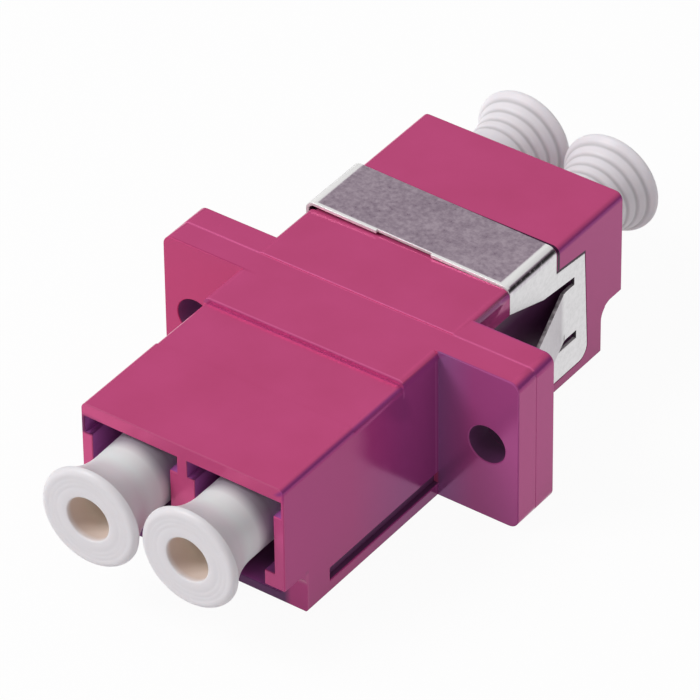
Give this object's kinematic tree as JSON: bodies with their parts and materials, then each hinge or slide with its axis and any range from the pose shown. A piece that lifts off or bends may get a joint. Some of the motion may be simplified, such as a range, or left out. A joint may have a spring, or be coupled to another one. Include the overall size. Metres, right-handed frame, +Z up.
{
  "type": "lc fibre adapter",
  "caption": "Duplex fibre coupler that joins connectors back to back, with a drilled panel flange, a sprung metal clip over the rear body and a pull-off dust cap in each port.",
  "frame": {"origin": "centre of the overall length and width, at the underside; the weld plane of the housing halves lies less than half a millimetre from it along Y, on Y = 0", "axes": "+Y along both light paths, from the front mouth to the rear mouth; +Z up from the latch side of the ports to the top face; +X across the ports, towards the right hand side seen from the front mouth"},
  "size_m": [0.0218, 0.0384, 0.0095],
  "materials": {
    "housing_plastic": "moulded, glossy, magenta",
    "clip_steel": "matt strip with bright cut edges",
    "sleeve_ceramic": "ground white",
    "cap_plastic": "soft translucent white"
  },
  "bodies": {
    "housing": {"front_housing": "housing_plastic", "rear_housing": "housing_plastic", "panel_clip": "clip_steel", "split_sleeve_left": "sleeve_ceramic", "split_sleeve_right": "sleeve_ceramic"},
    "cap_front_left": {"dust_cap_front_left": "cap_plastic"},
    "cap_front_right": {"dust_cap_front_right": "cap_plastic"},
    "cap_rear_left": {"dust_cap_rear_left": "cap_plastic"},
    "cap_rear_right": {"dust_cap_rear_right": "cap_plastic"}
  },
  "joints": [
    {"name": "cap_front_left_pull", "type": "slide", "parent": "housing", "child": "cap_front_left", "axis": [0, -1, 0], "range_m": [0, 0.014]},
    {"name": "cap_front_right_pull", "type": "slide", "parent": "housing", "child": "cap_front_right", "axis": [0, -1, 0], "range_m": [0, 0.014]},
    {"name": "cap_rear_left_pull", "type": "slide", "parent": "housing", "child": "cap_rear_left", "axis": [0, 1, 0], "range_m": [0, 0.014]},
    {"name": "cap_rear_right_pull", "type": "slide", "parent": "housing", "child": "cap_rear_right", "axis": [0, 1, 0], "range_m": [0, 0.014]}
  ]
}
